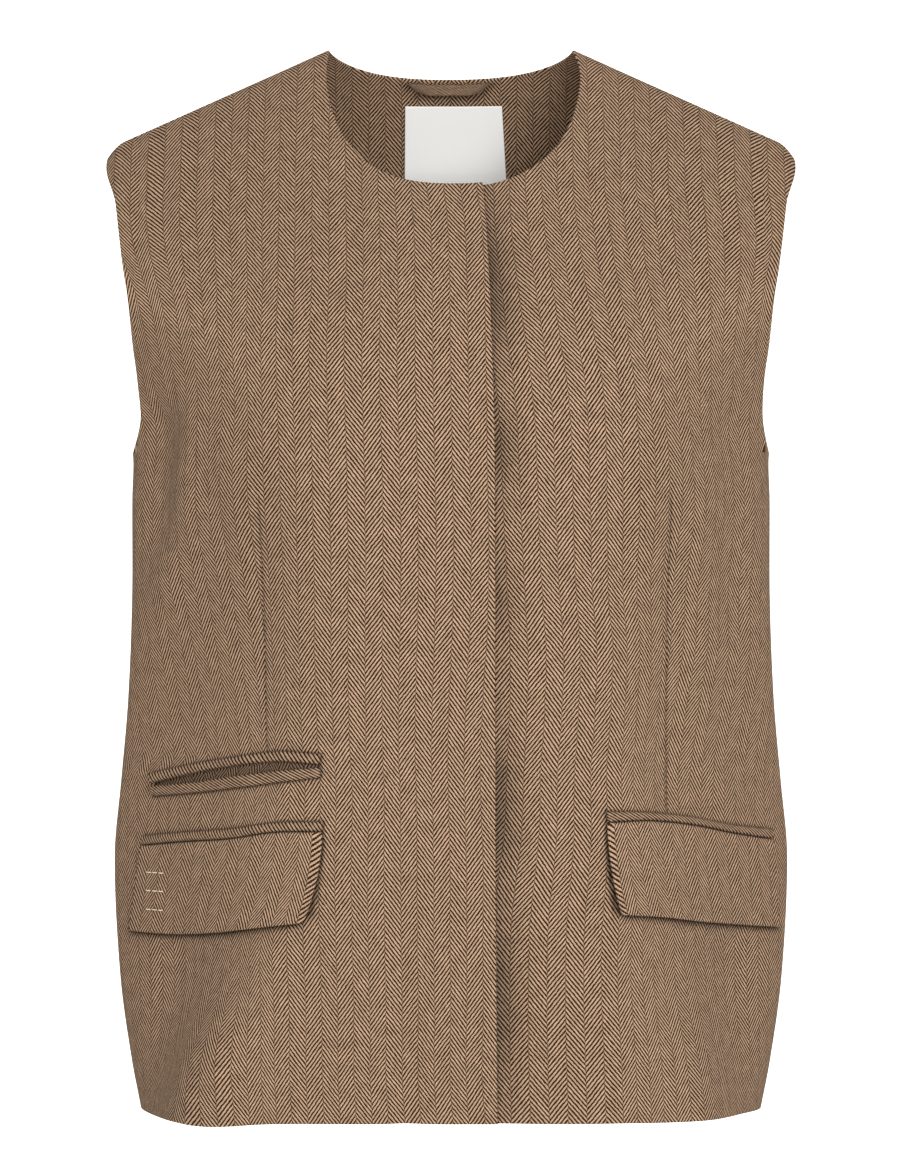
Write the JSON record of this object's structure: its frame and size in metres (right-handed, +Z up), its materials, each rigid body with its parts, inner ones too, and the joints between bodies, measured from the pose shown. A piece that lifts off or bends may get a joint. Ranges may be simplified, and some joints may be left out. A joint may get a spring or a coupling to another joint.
{
  "type": "tailored herringbone vest",
  "caption": "Collarless sleeveless tailored vest of herringbone wool, worn closed over a hidden placket, with jetted flap pockets, a ticket pocket and a back neck label.",
  "frame": {"origin": "midway between the two high shoulder points, where neckline and shoulder seams meet, which rest on the wearer's shoulders", "axes": "+Z up, -Y the way the fronts face, +X towards the wearer's left"},
  "size_m": [0.4284, 0.2459, 0.657],
  "materials": {
    "wool": "brown and beige herringbone wool twill, softly brushed",
    "wool_strips": "the same wool cut in narrow strips for welts, piping and loop",
    "label": "plain white woven ribbon, matt"
  },
  "bodies": {
    "root": {"front_right": "wool", "front_left": "wool", "back": "wool", "ticket_welt_upper": "wool_strips", "ticket_welt_lower": "wool_strips", "flap_right": "wool", "flap_right_piping": "wool_strips", "flap_left": "wool", "flap_left_piping": "wool_strips", "neck_label": "label", "hanger_loop": "wool_strips"}
  },
  "joints": []
}
